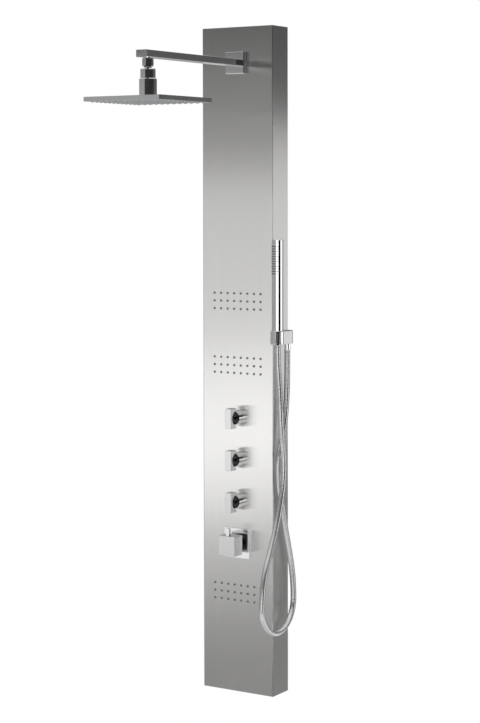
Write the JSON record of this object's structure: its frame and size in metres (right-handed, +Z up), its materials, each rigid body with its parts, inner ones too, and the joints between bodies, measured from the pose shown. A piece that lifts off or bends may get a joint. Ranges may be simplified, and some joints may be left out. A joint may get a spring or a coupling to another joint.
{
  "type": "shower panel column",
  "caption": "Tall folded steel shower column with a square overhead rain head on an arm, rows of body jets, diverter knobs, a lever mixer and a hand shower with its hose on the right side.",
  "frame": {"origin": "centre of the upper wall bracket's two screw holes, in the wall plane", "axes": "+Z up along the column, +Y into the wall, +X to the right as seen by someone who faces the column"},
  "size_m": [0.239, 0.5415, 1.6],
  "materials": {
    "brushed_sheet": "fine horizontal brushing",
    "bracket_steel": "plain galvanised",
    "chrome_trim": "polished",
    "brass_valve": "as cast and turned",
    "handle_alloy": "chrome plated die casting",
    "nozzle_silicone": "soft matte",
    "water_box": "moulded",
    "hose_line": "braided over a rubber core",
    "shower_hose": "interlocked metal spiral over a rubber core",
    "handset_body": "chrome plated"
  },
  "bodies": {
    "column": {"column_shell": "brushed_sheet", "wall_bracket_upper": "bracket_steel", "wall_bracket_lower": "bracket_steel", "hanger_rail_upper": "bracket_steel", "hanger_rail_lower": "bracket_steel", "arm_flange": "chrome_trim", "arm_tube": "chrome_trim", "arm_lock_nut": "brass_valve", "arm_elbow": "brass_valve", "ball_nipple": "chrome_trim", "manifold_nuts": "bracket_steel", "valve_column": "brass_valve", "head_pipe": "hose_line", "jet_pipe_upper": "hose_line", "jet_pipe_lower": "hose_line", "jet_pipe_link": "hose_line", "handset_pipe": "hose_line", "side_elbow": "brass_valve", "side_lock_nut": "brass_valve", "mixer_body": "brass_valve", "mixer_plate": "chrome_trim", "handset_holder": "chrome_trim", "holder_gasket": "nozzle_silicone", "outlet_nut": "chrome_trim", "shower_hose": "shower_hose", "jet_nozzle_mat_upper": "nozzle_silicone", "jet_manifold_upper": "water_box", "jet_nozzle_mat_middle": "nozzle_silicone", "jet_manifold_middle": "water_box", "jet_nozzle_mat_lower": "nozzle_silicone", "jet_manifold_lower": "water_box", "stop_valve_head": "brass_valve", "knob_bonnet_head": "chrome_trim", "stop_valve_jets": "brass_valve", "knob_bonnet_jets": "chrome_trim", "stop_valve_handset": "brass_valve", "knob_bonnet_handset": "chrome_trim"},
    "tilt_ring": {"ball_seat_upper": "water_box"},
    "tip_ring": {"ball_seat_lower": "water_box"},
    "rain_head": {"ball_nut": "chrome_trim", "head_neck": "chrome_trim", "head_shell": "chrome_trim", "head_nozzle_mat": "nozzle_silicone"},
    "mixer_carrier": {"mixer_dome": "chrome_trim", "mixer_spindle": "brass_valve", "mixer_pivot_pin": "bracket_steel"},
    "mixer_lever_body": {"mixer_lever": "bracket_steel", "mixer_handle": "handle_alloy", "mixer_pin": "chrome_trim"},
    "handset": {"handset_tube": "handset_body", "handset_spray_face": "nozzle_silicone", "hose_cone_nut": "chrome_trim"},
    "knob_head": {"knob_handle_head": "handle_alloy", "knob_spindle_head": "brass_valve"},
    "knob_jets": {"knob_handle_jets": "handle_alloy", "knob_spindle_jets": "brass_valve"},
    "knob_handset": {"knob_handle_handset": "handle_alloy", "knob_spindle_handset": "brass_valve"}
  },
  "joints": [
    {"name": "head_tilt", "type": "hinge", "parent": "column", "child": "tilt_ring", "pos_m": [0, -0.439, 0.0645], "axis": [1, 0, 0], "range_deg": [-9, 9]},
    {"name": "head_tip", "type": "hinge", "parent": "tilt_ring", "child": "tip_ring", "pos_m": [0, -0.439, 0.0645], "axis": [0, 1, 0], "range_deg": [-9, 9]},
    {"name": "head_turn", "type": "hinge", "parent": "tip_ring", "child": "rain_head", "pos_m": [0, -0.439, 0.0645], "axis": [0, 0, 1], "continuous": true},
    {"name": "knob_turn_head", "type": "hinge", "parent": "column", "child": "knob_head", "pos_m": [0, -0.089, -0.7335], "axis": [0, 1, 0], "range_deg": [0, 90]},
    {"name": "knob_turn_jets", "type": "hinge", "parent": "column", "child": "knob_jets", "pos_m": [0, -0.089, -0.8345], "axis": [0, 1, 0], "range_deg": [0, 90]},
    {"name": "knob_turn_handset", "type": "hinge", "parent": "column", "child": "knob_handset", "pos_m": [0, -0.089, -0.9355], "axis": [0, 1, 0], "range_deg": [0, 90]},
    {"name": "mixer_temperature", "type": "hinge", "parent": "column", "child": "mixer_carrier", "pos_m": [0, -0.062, -1.038], "axis": [0, 1, 0], "range_deg": [-45, 45]},
    {"name": "mixer_flow", "type": "hinge", "parent": "mixer_carrier", "child": "mixer_lever_body", "pos_m": [0, -0.062, -1.038], "axis": [-1, 0, 0], "range_deg": [0, 15]},
    {"name": "handset_lift", "type": "slide", "parent": "column", "child": "handset", "axis": [0, 0, 1], "range_m": [0, 0.15], "deforming": ["shower_hose"]}
  ]
}
